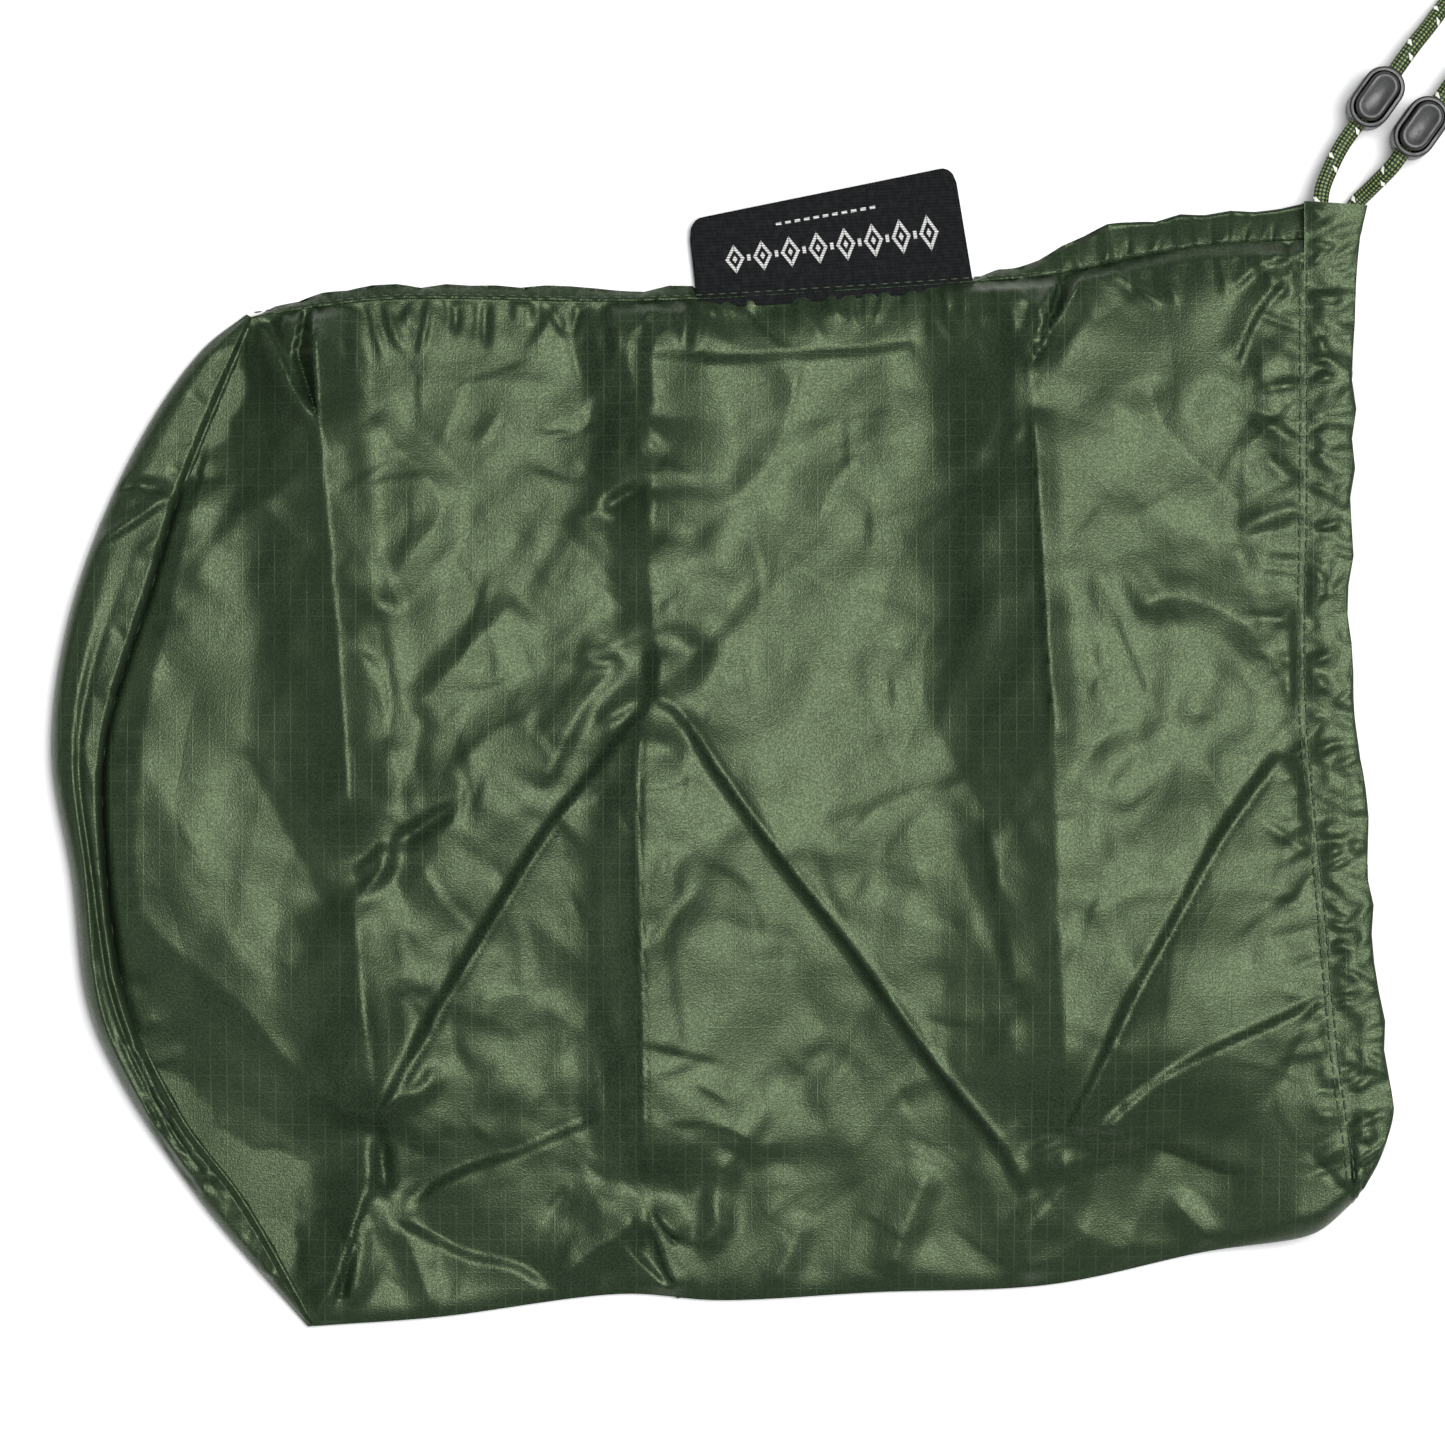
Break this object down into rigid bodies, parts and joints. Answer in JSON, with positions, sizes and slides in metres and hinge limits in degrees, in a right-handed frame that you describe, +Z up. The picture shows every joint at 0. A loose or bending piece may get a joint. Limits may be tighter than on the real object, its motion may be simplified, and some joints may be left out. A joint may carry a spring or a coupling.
{
  "type": "laundry bag",
  "caption": "Light drawstring laundry bag with a round base, lying flat: coated ripstop panels, sewn drawcord channel, side label and two spring toggles on the cord.",
  "frame": {"origin": "middle of the flat bag's outline, on the ground it lies on, without the free cord", "axes": "+X from the round base to the mouth, +Y towards the side seam with the label, +Z up from the ground"},
  "size_m": [0.2954, 0.2837, 0.014],
  "materials": {
    "cloth": "dark olive green coated ripstop nylon, slightly glossy, finely creased",
    "base_cloth": "the same coated ripstop nylon, a shade darker in its folds",
    "thread": "light olive polyester sewing thread",
    "label_weave": "near-black woven label with silver-grey woven bars",
    "cord_braid": "round braided cord, olive and black with white reflective flecks",
    "toggle_plastic": "dark grey moulded plastic, satin",
    "spring_steel": "bright spring wire"
  },
  "bodies": {
    "bag": {"body_panel": "cloth", "base_panel": "base_cloth", "base_seam": "base_cloth", "channel_stitching": "thread", "side_seam": "cloth", "side_seam_stitching": "thread", "drawcord_channel": "cloth", "drawcord_in_channel": "cord_braid", "drawcord_tail_left": "cord_braid", "drawcord_tail_right": "cord_braid", "drawcord_knot": "cord_braid", "drawcord_end_left": "cord_braid", "drawcord_end_right": "cord_braid"},
    "label": {"woven_label": "label_weave"},
    "toggle_left": {"toggle_casing_left": "toggle_plastic", "toggle_spring_left": "spring_steel"},
    "button_left": {"toggle_button_left": "toggle_plastic"},
    "toggle_right": {"toggle_casing_right": "toggle_plastic", "toggle_spring_right": "spring_steel"},
    "button_right": {"toggle_button_right": "toggle_plastic"}
  },
  "joints": [
    {"name": "label_flap", "type": "hinge", "parent": "bag", "child": "label", "pos_m": [0.0219, 0.08995, 0.0016], "axis": [0.9985, 0.0555, 0], "range_deg": [0, 100]},
    {"name": "toggle_left_slide", "type": "slide", "parent": "bag", "child": "toggle_left", "axis": [0.581, 0.8139, 0], "range_m": [-0.0035, 0.005]},
    {"name": "toggle_right_slide", "type": "slide", "parent": "bag", "child": "toggle_right", "axis": [0.581, 0.8139, 0], "range_m": [-0.002, 0.005]},
    {"name": "button_left_press", "type": "slide", "parent": "toggle_left", "child": "button_left", "axis": [0, 0, -1], "range_m": [0, 0.0016], "stiffness_N_per_m": 800, "springref_m": -0.004, "deforming": ["toggle_spring_left"]},
    {"name": "button_right_press", "type": "slide", "parent": "toggle_right", "child": "button_right", "axis": [0, 0, -1], "range_m": [0, 0.0016], "stiffness_N_per_m": 800, "springref_m": -0.004, "deforming": ["toggle_spring_right"]}
  ]
}
